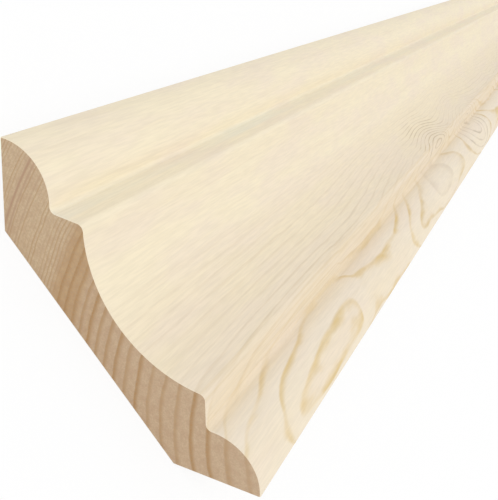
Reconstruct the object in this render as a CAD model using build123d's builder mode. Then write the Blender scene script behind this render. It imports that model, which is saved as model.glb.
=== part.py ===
"""Corner moulding of solid pine, the sprung kind that bridges a room corner as a skirting or a cornice.

The stock is one piece. Its section is drawn in the axes of the corner that it fits: X runs out
along one room surface, Y up the other, and the profile is the same on both sides of the diagonal.
From the bearing face outwards it has a quarter-round ovolo at the nose, a sharp inner quirk, a
drafted step up to the crest, and one wide cove between the two crests. The corner's axes are tilted
by half a right angle, so that the stock lies on its flat back, as it does when nothing holds it.

Row frame: origin under the middle of the stock, on the back face. +Y along the length, +Z up.
"""

import os
from math import cos, radians, sin, sqrt, tan

from build123d import *

# Driving dimensions, in millimetres and degrees
STOCK_LENGTH = 2400.0  # one sold length
LEG = 45.0  # room corner to nose, the same along both surfaces
BEARING_WIDTH = 14.5  # flat that lies against each room surface
WEB_THICKNESS = 7.5  # wood left between the back and the deepest line of the cove
COVE_RADIUS = 22.0
CREST_SETBACK = 10.0  # nose to crest, along the bearing
STEP_DRAFT = 6.0  # lean of the step from square to the bearing
OVOLO_RADIUS = 8.5  # its centre lies in the bearing face, so it leaves the nose at a right angle
CREST_ROUNDING = 1.25
QUIRK_ROUNDING = 0.9
ARRIS_ROUNDING = 0.3  # sanded arrises at the nose and along the back

# Sizes that follow from the driving dimensions
DIAGONAL = radians(45)
CORNER_TO_BACK = (LEG - BEARING_WIDTH) * cos(DIAGONAL)  # room corner to back face, along the diagonal
COVE_CENTRE = (CORNER_TO_BACK + WEB_THICKNESS + COVE_RADIUS) * cos(DIAGONAL)  # from both surfaces

# The corner's axes: the room corner lies under the back face, with both room surfaces rising from it
corner_plane = Plane(
    origin=(0, 0, -CORNER_TO_BACK),
    x_dir=(cos(DIAGONAL), 0, sin(DIAGONAL)),
    z_dir=(0, -1, 0),
)
mirror_line = Plane(origin=(0, 0, 0), x_dir=(1, 1, 0), z_dir=(-1, 1, 0))  # the diagonal of the corner


def draw_lower_half():
    """Draws the section below the diagonal, less its back and cove, and returns their end points."""
    back_corner = (LEG - BEARING_WIDTH, 0)
    nose = (LEG, 0)
    crest_x = LEG - CREST_SETBACK
    crest = (crest_x, COVE_CENTRE - sqrt(COVE_RADIUS**2 - (COVE_CENTRE - crest_x) ** 2))
    step_direction = (tan(radians(STEP_DRAFT)), -1)
    ovolo_centre = (LEG - OVOLO_RADIUS, 0)

    ovolo_circle = CenterArc(ovolo_centre, OVOLO_RADIUS, 0, 180, mode=Mode.PRIVATE)
    Line(back_corner, nose)
    step = IntersectingLine(crest, step_direction, ovolo_circle)
    RadiusArc(step @ 1, nose, OVOLO_RADIUS)
    return back_corner, crest


with BuildPart() as corner_moulding:
    with BuildSketch(corner_plane) as section:
        with BuildLine() as outline:
            back_corner, crest = draw_lower_half()
            mirror(about=mirror_line)
            Line(back_corner, back_corner[::-1])
            RadiusArc(crest, crest[::-1], COVE_RADIUS)
        make_face()
    extrude(amount=STOCK_LENGTH / 2, both=True)

    long_edges = corner_moulding.edges().filter_by(Axis.Y)
    crests = long_edges.group_by(Axis.Z)[-1]
    noses = long_edges.group_by(Axis.X)[0] + long_edges.group_by(Axis.X)[-1]
    back_arrises = long_edges.group_by(Axis.Z)[0]
    quirks = long_edges - crests - noses - back_arrises
    fillet(crests, CREST_ROUNDING)
    fillet(quirks, QUIRK_ROUNDING)
    fillet(noses + back_arrises, ARRIS_ROUNDING)

corner_moulding.part.label = "corner_moulding"
os.makedirs("parts", exist_ok=True)
export_step(corner_moulding.part, "parts/corner_moulding.step")
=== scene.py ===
"""Looks of the corner moulding: one planed length of pale pine, seen past its sawn end.

The growth rings are one solid pattern about the pith of the log, which lies above and outside the
section, so the lines on the mouldings meet the rings on both ends.
"""

from cmath import phase
from math import cos, pi, radians, sqrt, tan
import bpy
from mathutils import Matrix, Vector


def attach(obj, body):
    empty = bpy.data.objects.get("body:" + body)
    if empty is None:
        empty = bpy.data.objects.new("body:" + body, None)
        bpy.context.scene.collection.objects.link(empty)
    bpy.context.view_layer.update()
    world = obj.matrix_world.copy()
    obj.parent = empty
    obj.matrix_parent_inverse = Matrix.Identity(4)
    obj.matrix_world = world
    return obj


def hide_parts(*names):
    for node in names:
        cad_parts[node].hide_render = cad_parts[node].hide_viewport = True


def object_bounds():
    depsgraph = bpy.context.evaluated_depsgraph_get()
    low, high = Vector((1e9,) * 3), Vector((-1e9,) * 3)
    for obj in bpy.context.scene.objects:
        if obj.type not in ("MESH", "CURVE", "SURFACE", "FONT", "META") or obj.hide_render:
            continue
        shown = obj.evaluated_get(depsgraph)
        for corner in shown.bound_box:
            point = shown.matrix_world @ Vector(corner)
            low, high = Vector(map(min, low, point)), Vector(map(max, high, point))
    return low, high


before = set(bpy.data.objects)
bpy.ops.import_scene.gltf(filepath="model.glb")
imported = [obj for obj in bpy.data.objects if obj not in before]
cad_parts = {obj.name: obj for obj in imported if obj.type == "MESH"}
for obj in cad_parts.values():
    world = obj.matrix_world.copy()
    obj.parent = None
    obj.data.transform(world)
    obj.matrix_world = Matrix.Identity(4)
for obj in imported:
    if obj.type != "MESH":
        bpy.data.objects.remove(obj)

from types import SimpleNamespace

import bpy
from mathutils import Matrix, Vector

cad_box = [list(corner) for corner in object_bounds()]
MM = 0.001

# Section, as the part's source draws it: lengths in metres, and points in a plane of X + 1j * Z
STOCK_LENGTH = 2400 * MM
LEG = 45 * MM
BEARING_WIDTH = 14.5 * MM
WEB_THICKNESS = 7.5 * MM
COVE_RADIUS = 22 * MM
CREST_SETBACK = 10 * MM
STEP_DRAFT = radians(6)
OVOLO_RADIUS = 8.5 * MM
CREST_ROUNDING = 1.25 * MM
QUIRK_ROUNDING = 0.9 * MM
ARRIS_ROUNDING = 0.3 * MM
SAWN_ARRIS = 0.15 * MM  # the rim of each sawn end, just broken with paper

# Steps that each arc is spun in
COVE_STEPS = 40
OVOLO_STEPS = 28
CREST_STEPS = 8
QUIRK_STEPS = 6
ARRIS_STEPS = 4
STRETCHES = 12  # the length is drawn out in these equal stretches
WELD = 0.002 * MM  # points nearer than this are one point
SHADED_SMOOTH_UP_TO = radians(25)

# Layout of the map that the finish may be baked through: stretches side by side, sawn ends on top
MAP_NAME = "OFBake"
MAP_COLUMNS = 3
MAP_ROWS = 4
ENDS_BAND = 0.11

# Log: the line of its pith, and the directions in which a distance from it counts. In all that follows
# up to the camera, lengths are in millimetres, points are in this part's frame, and places along the
# stock are counted from its near end.
PITH = (41.0, 0.0, 31.0)
ACROSS_THE_PITH = (1.0, 0.0, 1.0)
NEAR_END = -STOCK_LENGTH / 2 / MM

# Growth rings: the first measured one, ring widths from there outwards and inwards, the distance in
# which they shrink by a factor of e, and where they crowd together towards the bark, by how many more
# to a millimetre
FIRST_RING = 24.15
FIRST_WIDTH = 3.43
INNER_WIDTH = 2.9
RING_SHRINK = 38.4
BARK_SIDE = 59.0
BARK_SIDE_RINGS = 0.85
LATE_PEAK = 0.88  # how far through its year a ring is darkest
YEARS_SEED = 3564.0  # good and bad years in the order that the sawn end shows

# Swellings of the log, which move the rings outwards, or where they are below 0, inwards. Each point
# is a place along the stock, and how far the rings are moved there.
LOW_SWELLING = (
    (0, 0), (5, 2.6), (10, 3.5), (18, 6), (30, 7.8), (38, 9.2), (50, 9.7), (59, 9.4), (63, 7.6), (68, 7),
    (75, 5.7), (85, 4.1), (95, 1.8), (108, 0),
)
WIDE_SWELLING = (
    (62, 0), (75, 0.9), (85, 2.6), (95, 5), (110, 9.9), (125, 13.9), (135, 15.6), (140, 17.8),
    (150, 18.9), (160, 18.3), (168, 16.4), (180, 14.4), (190, 13), (196, 13.5), (202, 15.8), (209, 19.4),
    (215, 23), (221, 26.4), (226, 28), (234, 23.5), (240, 19.4), (247, 15.5), (258, 11), (270, 8.5),
    (285, 7.5), (300, 7.5),
)
NOSE_SWELLING = (
    (0, 0), (10, -0.8), (18, 1.2), (28, 1.3), (40, 0.2), (53, -0.2), (57, -1.5), (66, -1.6), (76, -0.7),
    (83, -1), (89, -0.8), (97, 0.1), (104, 0.9), (112, 2), (125, 0.8), (145, 1), (170, 0),
)
SWELLING_RANGE = (-2.0, 30.0)
DRAWN_LENGTH = 300.0  # further along, each swelling stays as its last point leaves it

# Where across the stock the low and the wide swelling rise to the lower inner quirk and fall towards
# the nose, how late each of them rises, and where the nose's own swelling rises
QUIRK_RISE = (-4.0, 18.5)
QUIRK_FALL = (18.2, 37.4)
LOW_LATENESS = 4.0
WIDE_LATENESS = 1.3
NOSE_RISE = (20.0, 29.0)

# Knot just under the crest: its place, how far it reaches, how far it moves the rings, where across
# the stock it dies out, and over which part of its reach the strong lines about it fade
KNOT = (14.6, NEAR_END + 172.0, 12.6)
KNOT_REACH = (14.0, 22.0, 14.0)
KNOT_SWELLING = 10.0
KNOT_DIES_OUT = (15.5, 19.5)
KNOT_FADES = (0.5, 1.3)

# Noise: the size of its features across, along and up, how fine its detail is, which part of its
# spread about 0.5 counts, and what it goes between there, which is 0 and 1 where nothing else is said
WIDE_SPREAD = (0.3, 0.7)
MIDDLE_SPREAD = (0.35, 0.65)
HILLS = {"size": (90.0, 48.0, 90.0), "detail": 1.0, "spread": WIDE_SPREAD, "low": -5.0, "high": 13.0}
WANDER = {"size": (60.0, 260.0, 60.0), "detail": 1.0, "spread": WIDE_SPREAD, "low": -4.0, "high": 4.0}
RIPPLE = {"size": (5.0, 12.0, 5.0), "detail": 4.0, "spread": WIDE_SPREAD, "low": -0.11, "high": 0.11}
# how strongly the painted cool shade on the upper step shows, from place to place
COOL_SHADE_NOISE = {"size": (30.0, 40.0, 30.0), "detail": 2.0, "spread": MIDDLE_SPREAD, "low": 0.35}
STREAKS = {"size": (2.5, 140.0, 2.5), "detail": 3.0, "spread": MIDDLE_SPREAD, "high": 0.35}
PATCHES = {"size": (6.0, 24.0, 6.0), "detail": 3.0, "spread": (0.4, 0.7), "high": 0.6}
FLECKS = {"size": (1.0, 30.0, 1.0), "detail": 4.0, "roughness": 0.6, "spread": (0.5, 0.75), "high": 0.25}
THREADS = {"size": (0.6, 50.0, 0.6), "detail": 2.0, "spread": (0.45, 0.65), "high": 0.5}
MOTTLE = {"size": (1.2, 1.0, 1.2), "detail": 3.0, "spread": MIDDLE_SPREAD}
SMEARS = {"size": (4.0, 12.0, 4.0), "detail": 3.0}
FIBRES = {"size": (0.35, 5.0, 0.35), "detail": 4.0}
PORES = {"size": (0.3, 1.0, 0.3), "detail": 2.0}

# Places along the stock: where the drawn swellings give way to hills and a slow wander, where the
# lines get stronger past the saw cut, where they get paler, and where the dark strokes begin and end
UNSEEN = (240.0, 380.0)
PAST_THE_SAW = (0.0, 35.0)
PALER = (95.0, 150.0)
STROKES = (190.0, 205.0)
STROKES_END = (270.0, 330.0)

# Zones of the planed faces by their distance from the pith: where one gives way to the next, or for
# a band where it starts, where it stops and how far it fades out
LOWER_NOSE = (22.4, 24.5)
LOWER_OVOLO = (29.5, 30.5)
HEART = (28.0, 35.0)
LOWER_STEP = (30.0, 32.4, 0.8)
LOWER_STEP_SHADE = (30.5, 31.8, 1.0)
SAPWOOD_TURNS = (35.0, 50.0)
COVE_FLOOR = (39.0, 46.0, 4.0)
OUTER_SAPWOOD_TURNS = (40.0, 52.0)
UPPER_STEP = (61.6, 63.2, 1.0)

# Ring lines on the planed faces: where in its year a line begins, from the palest smear to the
# darkest, how much of it the worst year keeps, and how strong it is in the heart, outside it, in the
# outer sapwood, and how much stronger at the knot. Years count from the first measured ring.
LINE_BEGINS = (0.76, 0.56)
WORST_LINE = 0.7
PALEST_SMEAR = (0.8, 0.4)  # outside the heart, and in it
DARKEST_SMEAR = 1.25
GOLDEN_YEARS = (-3.2, -2.1)  # between these, grey lines give way to golden ones
GOLDEN_COLOURS = (-3.2, -1.6)  # and between these, their colours do
GOLDEN_LINES = 0.65
GREY_LINES = 0.2
GREY_STROKES = 0.55
UNSEEN_GREY_LINES = 0.22
OUTER_LINES = 0.27
SAPWOOD_LINES = 0.04
KNOT_LINES = 2.2

# How much is left of the lines at the saw cut, in the paler stretch and in the strokes. The lower step
# loses some of them near the saw cut: how much, where that ends, and the share of it that its foot has.
SAW_CUT_LINES = 0.55
PALER_LINES = 0.5
STROKE_LINES = 0.9
CALM = 0.55
CALM_ENDS = (125.0, 150.0)
STEP_FOOT = (30.6, 31.5)
FOOT_CALM = 0.45

# Glow between the heart's lines, and faint lines on the cove: the parts of the year where the colour
# begins, is full and starts to close, how much the worst year keeps, and how strong it is. The last
# two are the zones where the faint lines begin and end.
GLOW_SEASON = (0.2, 0.9, 0.94)
WORST_GLOW = 0.7
GLOW = 0.1
FAINT_SEASON = (0.3, 0.8, 0.94)
WORST_FAINT = 0.4
FAINT = 0.1
FAINT_LINES_A_YEAR = 2.0
FAINT_FROM = (30.0, 31.0)
FAINT_TO = (46.0, 51.0)

# Colours of the planed faces
INNER_SAPWOOD = (0.875, 0.765, 0.60, 1)
OUTER_SAPWOOD = (0.89, 0.79, 0.585, 1)
# the floor of the cove, darker and warmer: partly the wood's own warmer tone, partly painted shade in the
# hollow
COVE_TONE_AND_SHADE = (0.865, 0.755, 0.56, 1)
# painted cool shade, greenish grey, on the upper step, which is turned away from the lamp
COOL_PAINTED_SHADE = (0.84, 0.79, 0.63, 1)
OVOLO_WOOD = (0.855, 0.755, 0.61, 1)
NOSE_WOOD = (0.86, 0.745, 0.56, 1)
NOSE_SHARE = 0.7  # how much of its own colour the nose takes
# painted shade along the lower step, beside the quirk
STEP_PAINTED_SHADE = (0.835, 0.705, 0.525, 1)
STREAK = (0.85, 0.74, 0.55, 1)
PATCH = (0.845, 0.725, 0.59, 1)
FLECK = (0.76, 0.64, 0.46, 1)
THREAD = (0.77, 0.63, 0.42, 1)
GREY_LINE = (0.58, 0.47, 0.34, 1)
GOLDEN_LINE = (0.69, 0.49, 0.175, 1)
SAPWOOD_LINE = (0.65, 0.52, 0.34, 1)
FAINT_LINE = (0.70, 0.57, 0.43, 1)
FIBRE_SHADE = (0.96, 1.03)  # the fibres multiply the colour by this

# Surface of the planed faces: its roughness, and the strength and the depth of its relief in metres
PLANED_ROUGHNESS = (0.5, 0.62)
LINE_RELIEF = 0.6  # how far a line stands out, against a fibre
PLANED_RELIEF = 0.25
PLANED_DEPTH = 0.02 * MM

# Rings on the sawn ends: where their dark part gets broader, where in its year it begins and is full,
# where the rings get dense, how much of a ring the worst year keeps before and after that, how strong
# the dense ones are, and the innermost years, which are paler
BROADER = (36.0, 48.0)
RING_BEGINS = (0.56, 0.42)
RING_FULL = 0.86
DENSE = (57.0, 61.0)
WORST_RING = (0.5, 0.2)
DENSE_RINGS = 0.6
INNERMOST_YEARS = (-0.5, 2.5)
INNERMOST_RINGS = 0.5

# Bands on the sawn ends, each from and to a distance from the pith, how far it fades out, and how
# strong it is: two orange ones, and near the bark a soft dark one with three thin dark lines
ORANGE_BANDS = (
    (55.5, 58.5, 2.0, 0.85),
    (51.7, 52.5, 0.7, 0.35),
)
DARK_BANDS = (
    (68.6, 70.2, 0.9, 0.15),
    (70.0, 70.1, 0.25, 0.75),
    (69.2, 69.3, 0.2, 0.5),
    (67.6, 67.7, 0.2, 0.35),
)

# Colours and surface of the sawn ends, with the depth of the relief in metres
SAWN_WOOD = (0.615, 0.452, 0.293, 1)
SAWN_DENSE_WOOD = (0.645, 0.493, 0.317, 1)
ORANGE_WOOD = (0.545, 0.355, 0.178, 1)
MOTTLE_SHADE = (0.91, 0.86, 0.85, 1)
SAWN_RING = (0.44, 0.25, 0.10, 1)
DARK_BAND = (0.46, 0.28, 0.18, 1)
PORE = (0.47, 0.34, 0.22, 1)
PORE_SHARE = 0.45
SAWN_ROUGHNESS = (0.75, 0.9)
SAWN_RELIEF = 0.4
SAWN_DEPTH = 0.05 * MM

# Sockets of a Mix node that are for colours
MIX_SHARE = 0
MIX_FIRST = 6
MIX_SECOND = 7
MIX_RESULT = 2

# Camera, from the photograph: place in metres, the directions of its right, down and forward, and its
# focal length in millimetres
CAMERA_PLACE = Vector((-0.00358, -1.27902, 0.08286))
CAMERA_RIGHT = Vector((0.57663, 0.41136, 0.70589))
CAMERA_DOWN = Vector((0.8156, -0.34051, -0.46781))
CAMERA_FORWARD = Vector((0.04793, 0.84548, -0.53185))
FOCAL_LENGTH = 53.325
NEAREST_SEEN = 0.01

# Room and light: white walls, one soft lamp and a white floor
WHITE = (1, 1, 1, 1)
ROOM_LIGHT = 0.82
KEY_LIGHT = 0.75
KEY_SIZE = radians(40)
KEY_FROM = Vector((0.38, -0.16, 0.91))
FLOOR_SIZE = 12.0
FLOOR_PAINT = (0.95, 0.95, 0.95, 1)
SHADOW_SHARE = 0.12  # how much of the floor's own shading the camera sees


# Modelling


def unit(direction):
    return direction / abs(direction)


def on_line(start, direction, centre, radius, side):
    """Where a line crosses a circle: the crossing further along it, or with side -1 the other one."""
    offset = start - centre
    along = (offset * direction.conjugate()).real
    return start + direction * (side * sqrt(along**2 - abs(offset) ** 2 + radius**2) - along)


def half_outline():
    """Half of the section from the middle of the cove round to the middle of the back.

    Each stroke is the point that it ends at, and for an arc also its centre and its steps.
    """
    bearing = (1 + 1j) / sqrt(2)
    inward = 1j * bearing
    back_corner = (LEG - BEARING_WIDTH) * cos(pi / 4)
    nose = back_corner + BEARING_WIDTH * bearing
    ovolo_centre = nose - OVOLO_RADIUS * bearing
    cove_centre = 1j * (WEB_THICKNESS + COVE_RADIUS)
    crest = on_line(nose - CREST_SETBACK * bearing, inward, cove_centre, COVE_RADIUS, -1)
    step = unit(tan(STEP_DRAFT) * bearing - inward)
    open_side = 1j * step

    crest_centre = on_line(
        crest - CREST_ROUNDING * open_side, step, cove_centre, COVE_RADIUS + CREST_ROUNDING, 1
    )
    quirk_centre = on_line(
        crest + QUIRK_ROUNDING * open_side, step, ovolo_centre, OVOLO_RADIUS + QUIRK_ROUNDING, -1
    )
    nose_centre = on_line(
        nose + ARRIS_ROUNDING * inward, bearing, ovolo_centre, OVOLO_RADIUS - ARRIS_ROUNDING, 1
    )
    back_centre = back_corner + ARRIS_ROUNDING * inward
    back_centre += bearing * (ARRIS_ROUNDING - back_centre.imag) / bearing.imag

    return [
        (cove_centre + COVE_RADIUS * unit(crest_centre - cove_centre), cove_centre, COVE_STEPS),
        (crest_centre + CREST_ROUNDING * open_side, crest_centre, CREST_STEPS),
        (quirk_centre - QUIRK_ROUNDING * open_side, None, 1),
        (ovolo_centre + OVOLO_RADIUS * unit(quirk_centre - ovolo_centre), quirk_centre, QUIRK_STEPS),
        (ovolo_centre + OVOLO_RADIUS * unit(nose_centre - ovolo_centre), ovolo_centre, OVOLO_STEPS),
        (nose_centre - ARRIS_ROUNDING * inward, nose_centre, ARRIS_STEPS),
        (back_centre - ARRIS_ROUNDING * inward, None, 1),
        (back_centre - ARRIS_ROUNDING * 1j, back_centre, ARRIS_STEPS),
        (0j, None, 1),
    ]


def draw_section(y):
    """Draws the whole outline of the section at y as one closed face, with the pen starting in the cove."""
    pen = 1j * WEB_THICKNESS
    bpy.ops.object.select_all(action="DESELECT")
    bpy.ops.mesh.primitive_plane_add(size=WEB_THICKNESS)
    stock = bpy.context.object
    bpy.ops.object.mode_set(mode="EDIT")
    bpy.ops.mesh.merge(type="CENTER")
    bpy.ops.transform.translate(value=(pen.real, y, pen.imag))
    for target, centre, steps in half_outline():
        if centre is None:
            move = target - pen
            bpy.ops.mesh.extrude_vertices_move(
                TRANSFORM_OT_translate={"value": (move.real, 0, move.imag)}
            )
        else:
            bpy.ops.mesh.spin(
                steps=steps,
                angle=phase((target - centre) / (pen - centre)),
                use_auto_merge=False,
                center=(centre.real, y, centre.imag),
                axis=(0, 1, 0),
            )
        pen = target
    bpy.ops.object.mode_set(mode="OBJECT")
    mirror = stock.modifiers.new("other half", "MIRROR")
    mirror.use_axis = (True, False, False)
    mirror.merge_threshold = WELD
    bpy.ops.object.modifier_apply(modifier=mirror.name)
    bpy.ops.object.mode_set(mode="EDIT")
    bpy.ops.mesh.select_all(action="SELECT")
    bpy.ops.mesh.remove_doubles(threshold=WELD)
    bpy.ops.mesh.edge_face_add()
    return stock


def sawn(face, side=0):
    """Whether a face is a sawn end, and with a side of -1 or 1 whether it is the one at that end."""
    return abs(face.normal.y) > cos(SHADED_SMOOTH_UP_TO) and face.center.y * side >= 0


def make_moulding():
    """Draws the section, draws it out to the full length and breaks the rims of the sawn ends."""
    reach = STOCK_LENGTH / 2 - SAWN_ARRIS
    stock = draw_section(-reach)
    bpy.ops.mesh.select_mode(type="FACE")
    for _ in range(STRETCHES):
        bpy.ops.mesh.extrude_region_move(
            TRANSFORM_OT_translate={"value": (0, 2 * reach / STRETCHES, 0)}
        )
    bpy.ops.mesh.select_all(action="SELECT")
    bpy.ops.mesh.normals_make_consistent(inside=False)
    for side in (-1, 1):
        bpy.ops.mesh.select_all(action="DESELECT")
        bpy.ops.object.mode_set(mode="OBJECT")
        for face in stock.data.polygons:
            face.select = sawn(face, side)
        bpy.ops.object.mode_set(mode="EDIT")
        bpy.ops.mesh.inset(thickness=SAWN_ARRIS, use_even_offset=True)
        bpy.ops.transform.translate(value=(0, side * SAWN_ARRIS, 0))
    bpy.ops.object.mode_set(mode="OBJECT")
    bpy.ops.object.shade_smooth_by_angle(angle=SHADED_SMOOTH_UP_TO)
    return stock


def lay_out_map(stock):
    """Lays the length on the map in equal stretches, fronts beside undersides, and both ends above them."""
    layer = stock.data.uv_layers.new(name=MAP_NAME)
    wide = 2 * max(vertex.co.x for vertex in stock.data.vertices)
    tall = max(vertex.co.z for vertex in stock.data.vertices)
    stretch = STOCK_LENGTH / STRETCHES
    cell_wide = 1 / MAP_COLUMNS
    cell_tall = (1 - ENDS_BAND) / MAP_ROWS
    for face in stock.data.polygons:
        place = int((face.center.y + STOCK_LENGTH / 2) / stretch)
        for corner in face.loop_indices:
            co = stock.data.vertices[stock.data.loops[corner].vertex_index].co
            across = co.x / wide + 0.5
            if sawn(face):
                u = (across + (face.normal.y > 0)) / 2
                v = 1 - ENDS_BAND + ENDS_BAND * (co.z / tall)
            else:
                along = (co.y + STOCK_LENGTH / 2) / stretch - place
                u = (place % MAP_COLUMNS + (across + (face.normal.z < 0)) / 2) * cell_wide
                v = (place // MAP_COLUMNS + along) * cell_tall
            layer.data[corner].uv = (u, v)


# Finishes


class Finish:
    """The nodes of a material, or of the room's light. Most calls return the socket to read from."""

    def __init__(self, owner):
        owner.use_nodes = True
        self.tree = owner.node_tree
        self.tree.nodes.clear()

    def node(self, kind, inputs=(), **settings):
        node = self.tree.nodes.new(kind)
        for setting, value in settings.items():
            setattr(node, setting, value)
        for socket, value in dict(inputs).items():
            if isinstance(value, bpy.types.NodeSocket):
                self.tree.links.new(value, node.inputs[socket])
            else:
                node.inputs[socket].default_value = value
        return node

    def math(self, operation, *values):
        return self.node("ShaderNodeMath", enumerate(values), operation=operation).outputs[0]

    def product(self, first, *others):
        for other in others:
            first = self.math("MULTIPLY", first, other)
        return first

    def vector(self, operation, *values):
        node = self.node("ShaderNodeVectorMath", enumerate(values), operation=operation)
        return node.outputs["Value" if operation == "LENGTH" else "Vector"]

    def ramp(self, value, start, stop, low=0.0, high=1.0, how="LINEAR"):
        """Goes from low to high as the value goes from start to stop."""
        inputs = {"Value": value, "From Min": start, "From Max": stop, "To Min": low, "To Max": high}
        return self.node("ShaderNodeMapRange", inputs, interpolation_type=how).outputs[0]

    def fade(self, value, start, stop, low=0.0, high=1.0):
        """Goes smoothly from low to high as the value goes from start to stop."""
        return self.ramp(value, start, stop, low, high, how="SMOOTHSTEP")

    def band(self, value, start, stop, soft):
        """Is 1 from start to stop, and fades to 0 over a soft width outside them."""
        rise = self.fade(value, start - soft, start)
        return self.product(rise, self.fade(value, stop, stop + soft, 1.0, 0.0))

    def bands(self, value, layers):
        """Adds up bands, each with a strength of its own."""
        total = 0.0
        for *band, strength in layers:
            total = self.math("MULTIPLY_ADD", self.band(value, *band), strength, total)
        return total

    def mix(self, share, first, second, how="MIX"):
        """Lays the second colour over the first by its share."""
        inputs = {MIX_SHARE: share, MIX_FIRST: first, MIX_SECOND: second}
        node = self.node("ShaderNodeMix", inputs, data_type="RGBA", blend_type=how)
        return node.outputs[MIX_RESULT]

    def grain(self, place, size, detail, roughness=0.5):
        """Noise about 0.5 with features of this size."""
        scale = tuple(1 / length for length in size)
        stretched = self.node("ShaderNodeMapping", {"Vector": place, "Scale": scale}).outputs[0]
        inputs = {"Vector": stretched, "Scale": 1.0, "Detail": detail, "Roughness": roughness}
        return self.node("ShaderNodeTexNoise", inputs).outputs[0]

    def varied(self, place, size, spread, detail, roughness=0.5, low=0.0, high=1.0):
        """Goes smoothly from low to high as such noise goes through its spread."""
        return self.fade(self.grain(place, size, detail, roughness), *spread, low, high)

    def surface(self, colour, roughness, relief, strength, depth):
        """Ends a material with its colour, its roughness and a relief that is this strong and deep."""
        bump = self.node("ShaderNodeBump", {"Height": relief, "Strength": strength, "Distance": depth})
        inputs = {"Base Color": colour, "Roughness": roughness, "Normal": bump.outputs[0]}
        shader = self.node("ShaderNodeBsdfPrincipled", inputs).outputs[0]
        self.node("ShaderNodeOutputMaterial", {"Surface": shader})


def further_on(finish, along, stretch, low=0.0, high=1.0):
    """Goes smoothly from low to high over a stretch of the stock."""
    start, stop = stretch
    return finish.fade(along, NEAR_END + start, NEAR_END + stop, low, high)


def swelling(finish, along, points):
    """How far the rings are moved at a place along the stock, by a curve through these points."""
    low, high = SWELLING_RANGE
    start = finish.ramp(along, NEAR_END, NEAR_END + DRAWN_LENGTH)
    drawn = finish.node("ShaderNodeFloatCurve", {"Value": start})
    curve = drawn.mapping.curves[0]
    while len(curve.points) < len(points):
        curve.points.new(0.5, 0.5)  # anywhere, as the next lines move it
    for point, (y, height) in zip(curve.points, points):
        point.location = (y / DRAWN_LENGTH, (height - low) / (high - low))
        point.handle_type = "AUTO_CLAMPED"
    drawn.mapping.extend = "HORIZONTAL"
    drawn.mapping.update()
    return finish.math("MULTIPLY_ADD", drawn.outputs[0], high - low, low)


def swollen(finish, place, across, along, distance):
    """The distance from the pith that a place would have in a straight log: less in each swelling."""
    rise = finish.ramp(across, *QUIRK_RISE)
    fall = finish.ramp(across, *QUIRK_FALL, 1.0, 0.0)
    unseen = further_on(finish, along, UNSEEN)
    wide = swelling(finish, along, WIDE_SWELLING)
    wide = finish.math("MULTIPLY_ADD", unseen, finish.varied(place, **HILLS), wide)
    low_share = finish.product(finish.math("POWER", rise, LOW_LATENESS), fall)
    wide_share = finish.product(finish.math("POWER", rise, WIDE_LATENESS), fall)
    for share, height in (
        (low_share, swelling(finish, along, LOW_SWELLING)),
        (wide_share, wide),
        (finish.fade(across, *NOSE_RISE), swelling(finish, along, NOSE_SWELLING)),
    ):
        distance = finish.math("SUBTRACT", distance, finish.product(share, height))
    distance = finish.math("MULTIPLY_ADD", unseen, finish.varied(place, **WANDER), distance)
    return finish.math("ADD", distance, finish.varied(place, **RIPPLE))


def count_rings(finish, distance):
    """Years from the first measured ring outwards. Each ring is darkest at LATE_PEAK of its year."""
    beyond = finish.math("SUBTRACT", distance, FIRST_RING)
    inner = finish.math("DIVIDE", finish.math("MINIMUM", beyond, 0.0), INNER_WIDTH)
    shrink = finish.math("DIVIDE", finish.math("MAXIMUM", beyond, 0.0), RING_SHRINK)
    grown = finish.math("SUBTRACT", finish.math("EXPONENT", shrink), 1.0)
    outer = finish.product(grown, RING_SHRINK / FIRST_WIDTH)
    bark = finish.math("MAXIMUM", finish.math("SUBTRACT", distance, BARK_SIDE), 0.0)
    count = finish.math("MULTIPLY_ADD", bark, BARK_SIDE_RINGS, finish.math("ADD", inner, outer))
    return finish.math("ADD", count, LATE_PEAK)


def growth(finish):
    """Each place in millimetres, how far along and from the pith it is, how near the knot, and its year."""
    seen = finish.node("ShaderNodeTexCoord").outputs["Object"]
    place = finish.node("ShaderNodeMapping", {"Vector": seen, "Scale": (1 / MM,) * 3}).outputs[0]
    across, along, _ = finish.node("ShaderNodeSeparateXYZ", {0: place}).outputs
    from_pith = finish.vector("SUBTRACT", place, PITH)
    radius = finish.vector("LENGTH", finish.vector("MULTIPLY", from_pith, ACROSS_THE_PITH))
    from_knot = finish.vector("DIVIDE", finish.vector("SUBTRACT", place, KNOT), KNOT_REACH)
    reach = finish.vector("LENGTH", from_knot)
    under_crest = finish.fade(across, *KNOT_DIES_OUT, 1.0, 0.0)
    moved = finish.fade(reach, 0.0, 1.0, -KNOT_SWELLING, 0.0)
    distance = finish.math("MULTIPLY_ADD", moved, under_crest, radius)
    distance = swollen(finish, place, across, along, distance)
    return SimpleNamespace(
        place=place,
        along=along,
        radius=radius,
        knot=finish.product(under_crest, finish.fade(reach, *KNOT_FADES, 1.0, 0.0)),
        count=count_rings(finish, distance),
    )


def rings(finish, count, begins, full, closes, worst):
    """How late in its year the wood is, 0 to 1, times the strength of its own year."""
    year = finish.math("ADD", finish.math("FLOOR", count), YEARS_SEED)
    season = finish.math("FRACT", count)
    strength = finish.node("ShaderNodeTexWhiteNoise", {"W": year}, noise_dimensions="1D").outputs["Value"]
    closing = finish.fade(season, closes, 1.0, 1.0, 0.0)
    strength = finish.fade(strength, 0.0, 1.0, worst)
    return finish.product(finish.fade(season, begins, full), closing, strength)


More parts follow.
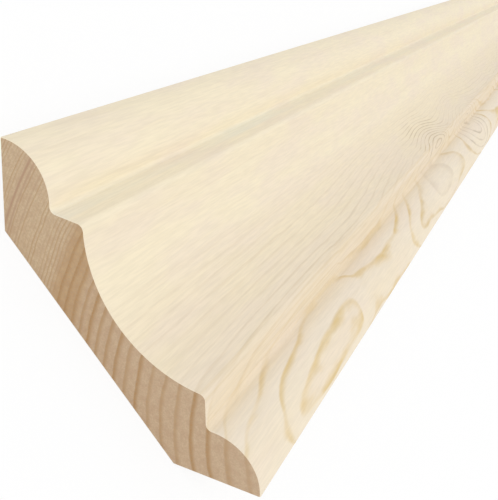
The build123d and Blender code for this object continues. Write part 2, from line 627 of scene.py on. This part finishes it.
def line_strength(finish, log, heart, smears):
    """How strong the lines are at a place on the planed faces."""
    grey = further_on(finish, log.along, STROKES, GREY_LINES, GREY_STROKES)
    grey = further_on(finish, log.along, STROKES_END, grey, UNSEEN_GREY_LINES)
    inside = finish.fade(log.count, *GOLDEN_YEARS, grey, GOLDEN_LINES)
    outside = finish.math("MULTIPLY_ADD", log.knot, KNOT_LINES, OUTER_LINES)
    sapwood = finish.fade(log.radius, *OUTER_SAPWOOD_TURNS)
    outside = finish.math("MULTIPLY_ADD", sapwood, SAPWOOD_LINES - OUTER_LINES, outside)
    strength = finish.math("MULTIPLY_ADD", heart, inside, outside)

    foot = finish.fade(log.radius, *STEP_FOOT, FOOT_CALM, 1.0)
    near = further_on(finish, log.along, CALM_ENDS, CALM, 0.0)
    calm = finish.product(finish.band(log.radius, *LOWER_STEP), foot, near)
    paler = further_on(finish, log.along, PALER, 1.0, PALER_LINES)
    return finish.product(
        smears,
        strength,
        finish.math("SUBTRACT", 1.0, calm),
        further_on(finish, log.along, PAST_THE_SAW, SAW_CUT_LINES, 1.0),
        further_on(finish, log.along, STROKES, paler, STROKE_LINES),
    )


def faint_lines(finish, log, smears):
    """Lines between the years, on the flank of the cove above the lower step."""
    count = finish.product(log.count, FAINT_LINES_A_YEAR)
    return finish.product(
        smears,
        finish.fade(log.radius, *FAINT_FROM),
        rings(finish, count, *FAINT_SEASON, WORST_FAINT),
        finish.fade(log.radius, *FAINT_TO, 1.0, 0.0),
        FAINT,
    )


def plain_wood(finish, log):
    """The planed wood without its lines: colours laid on the sapwood in order, each by its share, among
    them painted shade on both steps and in the cove.
    """
    # painted cool shade on the upper step, in patches
    cool_shade = finish.product(finish.varied(log.place, **COOL_SHADE_NOISE), finish.band(log.radius, *UPPER_STEP))
    threads = finish.product(finish.varied(log.place, **THREADS), finish.band(log.radius, *LOWER_STEP))
    wood = finish.mix(finish.fade(log.radius, *SAPWOOD_TURNS), INNER_SAPWOOD, OUTER_SAPWOOD)
    for share, colour in (
        # partly the wood's warmer tone, partly painted shade in the hollow of the cove
        (finish.band(log.radius, *COVE_FLOOR), COVE_TONE_AND_SHADE),
        (cool_shade, COOL_PAINTED_SHADE),
        (finish.fade(log.radius, *LOWER_OVOLO, 1.0, 0.0), OVOLO_WOOD),
        (finish.fade(log.radius, *LOWER_NOSE, NOSE_SHARE, 0.0), NOSE_WOOD),
        # painted shade along the lower step, beside the quirk
        (finish.band(log.radius, *LOWER_STEP_SHADE), STEP_PAINTED_SHADE),
        (finish.varied(log.place, **STREAKS), STREAK),
        (finish.varied(log.place, **PATCHES), PATCH),
        (finish.varied(log.place, **FLECKS), FLECK),
        (threads, THREAD),
    ):
        wood = finish.mix(share, wood, colour)
    return wood


def planed_pine():
    """Pale sapwood with faint lines, and rosier wood with honey lines where the cut comes near the pith."""
    pine = bpy.data.materials.new("planed_pine")
    finish = Finish(pine)
    log = growth(finish)
    heart = finish.fade(log.radius, *HEART, 1.0, 0.0)
    smears = finish.grain(log.place, **SMEARS)
    begins = finish.fade(smears, *MIDDLE_SPREAD, *LINE_BEGINS)
    palest = finish.fade(heart, 0.0, 1.0, *PALEST_SMEAR)
    smears = finish.fade(smears, *MIDDLE_SPREAD, palest, DARKEST_SMEAR)
    late = rings(finish, log.count, begins, LATE_PEAK, LATE_PEAK, WORST_LINE)
    marked = finish.product(late, line_strength(finish, log, heart, smears))
    marked = finish.math("MINIMUM", marked, 1.0)
    glow = rings(finish, log.count, *GLOW_SEASON, WORST_GLOW)

    golden = finish.fade(log.count, *GOLDEN_COLOURS)
    line = finish.mix(heart, SAPWOOD_LINE, finish.mix(golden, GREY_LINE, GOLDEN_LINE))
    wood = finish.mix(finish.product(heart, GLOW, glow), plain_wood(finish, log), line)
    wood = finish.mix(marked, wood, line)
    wood = finish.mix(faint_lines(finish, log, smears), wood, FAINT_LINE)
    fibres = finish.grain(log.place, **FIBRES)
    shade = finish.fade(fibres, *WIDE_SPREAD, *FIBRE_SHADE)
    shade = finish.node("ShaderNodeCombineColor", {0: shade, 1: shade, 2: shade}).outputs[0]
    wood = finish.mix(1.0, wood, shade, how="MULTIPLY")
    roughness = finish.fade(fibres, *WIDE_SPREAD, *PLANED_ROUGHNESS)
    relief = finish.math("MULTIPLY_ADD", marked, LINE_RELIEF, fibres)
    finish.surface(wood, roughness, relief, PLANED_RELIEF, PLANED_DEPTH)
    return pine


def sawn_pine():
    """Darker end grain: broad soft rings, orange bands, dark lines near the bark, and open pores."""
    pine = bpy.data.materials.new("sawn_pine_end")
    finish = Finish(pine)
    log = growth(finish)
    dense = finish.fade(log.radius, *DENSE)
    begins = finish.fade(log.radius, *BROADER, *RING_BEGINS)
    worst = finish.fade(dense, 0.0, 1.0, *WORST_RING)
    late = finish.product(
        rings(finish, log.count, begins, RING_FULL, LATE_PEAK, worst),
        finish.fade(log.count, *INNERMOST_YEARS, INNERMOST_RINGS, 1.0),
        finish.fade(dense, 0.0, 1.0, 1.0, DENSE_RINGS),
    )
    pores = finish.grain(log.place, **PORES)
    wood = finish.mix(dense, SAWN_WOOD, SAWN_DENSE_WOOD)
    wood = finish.mix(finish.bands(log.radius, ORANGE_BANDS), wood, ORANGE_WOOD)
    wood = finish.mix(finish.varied(log.place, **MOTTLE), wood, MOTTLE_SHADE, how="MULTIPLY")
    wood = finish.mix(late, wood, SAWN_RING)
    wood = finish.mix(finish.bands(log.radius, DARK_BANDS), wood, DARK_BAND)
    wood = finish.mix(finish.fade(pores, *MIDDLE_SPREAD, 0.0, PORE_SHARE), wood, PORE)
    roughness = finish.fade(pores, *WIDE_SPREAD, *SAWN_ROUGHNESS)
    finish.surface(wood, roughness, finish.math("ADD", pores, late), SAWN_RELIEF, SAWN_DEPTH)
    return pine


# Room


def lay_floor(bottom):
    """A white floor under the moulding, which the camera sees nearly as plain white with a faint shadow."""
    bpy.ops.object.select_all(action="DESELECT")
    bpy.ops.mesh.primitive_plane_add(size=FLOOR_SIZE, location=(0, 0, bottom))
    floor = bpy.context.object
    floor.name = "floor"
    bpy.ops.object.transform_apply(location=True)
    white = bpy.data.materials.new("white_floor")
    finish = Finish(white)
    paint = finish.node("ShaderNodeBsdfDiffuse", {"Color": FLOOR_PAINT}).outputs[0]
    glow = finish.node("ShaderNodeEmission", {"Color": WHITE, "Strength": 1.0}).outputs[0]
    ray = finish.node("ShaderNodeLightPath").outputs
    plain = finish.product(ray["Is Camera Ray"], 1 - SHADOW_SHARE)
    mixed = finish.node("ShaderNodeMixShader", {0: plain, 1: paint, 2: glow}).outputs[0]
    finish.node("ShaderNodeOutputMaterial", {"Surface": mixed})
    floor.data.materials.append(white)


def light_room():
    """White walls all round, which the camera sees as plain white, and one soft lamp."""
    world = bpy.data.worlds.new("white_room")
    bpy.context.scene.world = world
    room = Finish(world)
    ray = room.node("ShaderNodeLightPath").outputs
    seen = room.math("MAXIMUM", ray["Is Camera Ray"], ray["Is Transmission Ray"])
    level = room.ramp(seen, 0.0, 1.0, ROOM_LIGHT, 1.0)
    walls = room.node("ShaderNodeBackground", {"Color": WHITE, "Strength": level}).outputs[0]
    room.node("ShaderNodeOutputWorld", {"Surface": walls})

    bpy.ops.object.light_add(type="SUN", location=KEY_FROM)
    lamp = bpy.context.object
    lamp.name = "key_lamp"
    lamp.data.energy = KEY_LIGHT
    lamp.data.angle = KEY_SIZE
    lamp.rotation_euler = KEY_FROM.to_track_quat("Z", "Y").to_euler()


def place_camera():
    """Puts the camera where the photograph was taken from."""
    bpy.ops.object.camera_add()
    camera = bpy.context.object
    axes = Matrix((CAMERA_RIGHT, -CAMERA_DOWN, -CAMERA_FORWARD)).transposed()
    camera.matrix_world = Matrix.Translation(CAMERA_PLACE) @ axes.to_4x4()
    camera.data.lens = FOCAL_LENGTH
    camera.data.clip_start = NEAREST_SEEN
    bpy.context.scene.camera = camera


def main():
    place_camera()
    stock = make_moulding()
    stock.name = "pine_moulding"
    stock.data.materials.append(planed_pine())
    stock.data.materials.append(sawn_pine())
    for face in stock.data.polygons:
        face.material_index = int(sawn(face))
    lay_out_map(stock)
    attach(stock, "root")
    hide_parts("corner_moulding")
    lay_floor(cad_box[0][2])
    light_room()
    bpy.context.scene.view_settings.view_transform = "Standard"


main()
